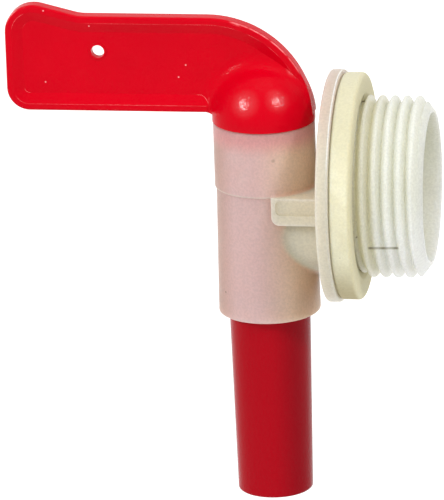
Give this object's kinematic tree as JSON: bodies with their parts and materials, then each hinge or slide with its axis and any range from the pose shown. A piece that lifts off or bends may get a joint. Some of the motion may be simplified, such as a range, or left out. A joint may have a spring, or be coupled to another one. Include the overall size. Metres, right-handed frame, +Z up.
{
  "type": "jerrycan tap",
  "caption": "Quarter-turn jerrycan tap: a red lever plug with a spout turns in a translucent body with a hollow threaded inlet spigot and a sealing washer.",
  "frame": {"origin": "on the inlet thread's axis, at the outer face of the sealing washer", "axes": "+X along the inlet thread into the can, +Z up, the lever points along -X when the tap is shut"},
  "size_m": [0.0619, 0.0338, 0.0736],
  "materials": {
    "translucent_body": "satin natural polyethylene, milky and translucent",
    "red_plug": "smooth red moulded plastic with soft gloss",
    "cream_washer": "matt cream soft washer"
  },
  "bodies": {
    "tap_body": {"body": "translucent_body", "sealing_washer": "cream_washer"},
    "plug": {"plug_lever": "red_plug"}
  },
  "joints": [
    {"name": "lever_turn", "type": "hinge", "parent": "tap_body", "child": "plug", "pos_m": [-0.0145, 0, 0], "axis": [0, 0, 1], "range_deg": [-90, 0]}
  ]
}
